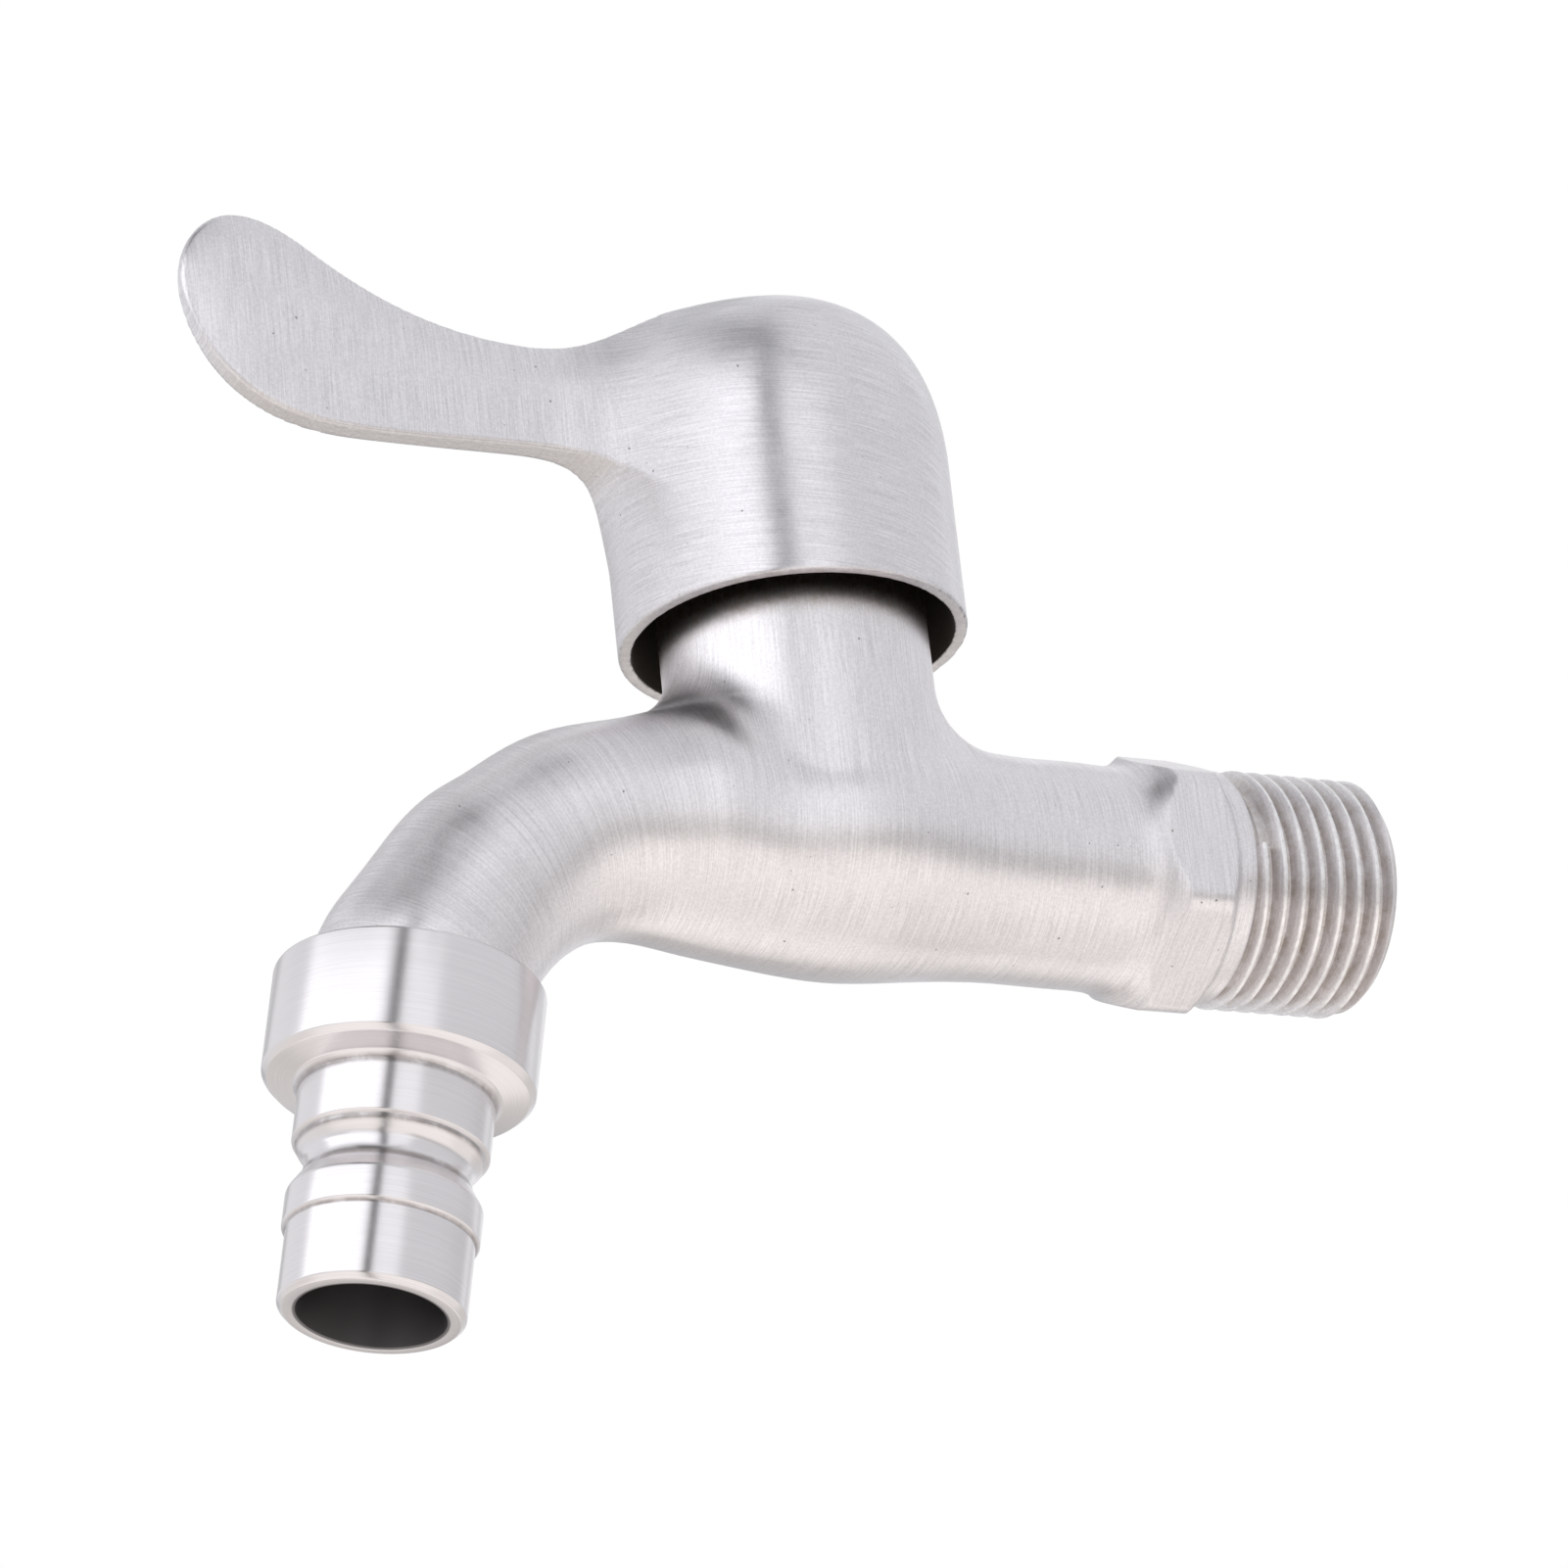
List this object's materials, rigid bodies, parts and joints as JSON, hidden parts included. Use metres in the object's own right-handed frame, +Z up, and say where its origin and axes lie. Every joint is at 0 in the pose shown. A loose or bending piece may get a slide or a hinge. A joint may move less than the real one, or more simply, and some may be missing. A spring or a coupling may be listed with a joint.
{
  "type": "garden tap",
  "caption": "Wall-mounted garden tap: threaded inlet, curved spout with a screwed hose nozzle, and a domed lever handle over a quarter-turn ceramic disc valve.",
  "frame": {"origin": "centre of the inlet's threaded end face, on the axis of the inlet", "axes": "+Y along the inlet towards the wall, -Y to the front with the spout and the lever, +Z up along the handle's axis, +X to the side that the picture sees"},
  "size_m": [0.0303, 0.1053, 0.1011],
  "materials": {
    "cast_steel": "cast stainless steel, satin brushed",
    "turned_steel": "stainless steel, turned and polished with fine lathe lines",
    "valve_brass": "machined brass",
    "disc_ceramic": "white alumina ceramic, lapped",
    "seal_rubber": "black nitrile rubber",
    "valve_plastic": "moulded acetal"
  },
  "bodies": {
    "tap_body": {"body": "cast_steel", "nozzle": "turned_steel", "cartridge_housing": "valve_brass", "fixed_disc": "disc_ceramic", "disc_seal": "seal_rubber", "nozzle_washer": "seal_rubber", "housing_gasket": "seal_rubber", "seal_support": "valve_plastic", "wear_washer": "valve_plastic"},
    "turning_handle": {"handle": "cast_steel", "handle_bush": "valve_plastic", "handle_grub_screw": "turned_steel", "spindle": "valve_brass", "spindle_o_ring_lower": "seal_rubber", "spindle_o_ring_upper": "seal_rubber", "snap_ring": "turned_steel", "moving_disc": "disc_ceramic"}
  },
  "joints": [
    {"name": "handle_turn", "type": "hinge", "parent": "tap_body", "child": "turning_handle", "pos_m": [0, -0.0511, 0], "axis": [0, 0, 1], "range_deg": [0, 90]}
  ]
}
